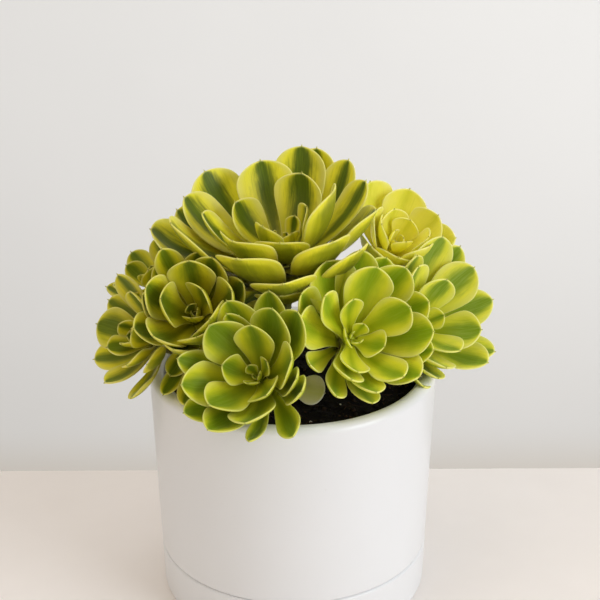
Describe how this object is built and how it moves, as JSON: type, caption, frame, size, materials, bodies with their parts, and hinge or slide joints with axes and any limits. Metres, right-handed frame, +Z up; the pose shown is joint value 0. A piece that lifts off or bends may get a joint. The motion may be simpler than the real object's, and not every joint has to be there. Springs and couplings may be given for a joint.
{
  "type": "potted succulent arrangement",
  "caption": "Variegated rosette succulents crowded in a glazed, slightly tapered round pot that stands on a flush matching saucer.",
  "frame": {"origin": "centre of the saucer's flat underside", "axes": "+Z up, the arrangement's front faces -Y, +X to its right seen from the front"},
  "size_m": [0.2097, 0.1735, 0.2292],
  "materials": {
    "glaze": "glossy white glaze over ceramic",
    "earth": "damp, loose, fine-grained potting mix",
    "bark": "dull ringed green-brown stem skin",
    "leaf": "satin waxy leaf, green stripe and yellow margins",
    "pale_leaf": "satin pale leaf, drying"
  },
  "bodies": {
    "root": {"back_left_heart": "leaf", "back_left_stem": "bark", "back_right_heart": "leaf", "back_right_stem": "bark", "crown_heart": "leaf", "crown_leaf_15": "leaf", "crown_leaf_16": "leaf", "crown_leaf_17": "leaf", "crown_leaf_18": "leaf", "crown_leaf_19": "leaf", "crown_leaf_20": "leaf", "crown_leaf_21": "leaf", "crown_leaf_22": "leaf", "crown_leaf_23": "leaf", "crown_leaf_24": "leaf", "crown_leaf_25": "leaf", "crown_leaf_26": "leaf", "crown_leaf_27": "leaf", "crown_leaf_28": "leaf", "crown_leaf_29": "leaf", "crown_stem": "bark", "fallen_leaf": "pale_leaf", "far_left_heart": "leaf", "far_left_leaf_14": "leaf", "far_left_leaf_15": "leaf", "far_left_leaf_16": "leaf", "far_left_stem": "bark", "front_left_heart": "leaf", "front_left_leaf_17": "leaf", "front_left_leaf_18": "leaf", "front_left_leaf_19": "leaf", "front_left_leaf_20": "leaf", "front_left_leaf_21": "leaf", "front_left_leaf_22": "leaf", "front_left_stem": "bark", "front_right_heart": "leaf", "front_right_leaf_17": "leaf", "front_right_leaf_18": "leaf", "front_right_leaf_19": "leaf", "front_right_leaf_20": "leaf", "front_right_leaf_21": "leaf", "front_right_leaf_22": "leaf", "front_right_stem": "bark", "left_heart": "leaf", "left_leaf_18": "leaf", "left_leaf_19": "leaf", "left_leaf_20": "leaf", "left_leaf_21": "leaf", "left_leaf_22": "leaf", "left_stem": "bark", "pot": "glaze", "right_heart": "leaf", "right_leaf_17": "leaf", "right_leaf_18": "leaf", "right_leaf_19": "leaf", "right_leaf_20": "leaf", "right_stem": "bark", "saucer": "glaze", "soil": "earth"}
  },
  "joints": []
}
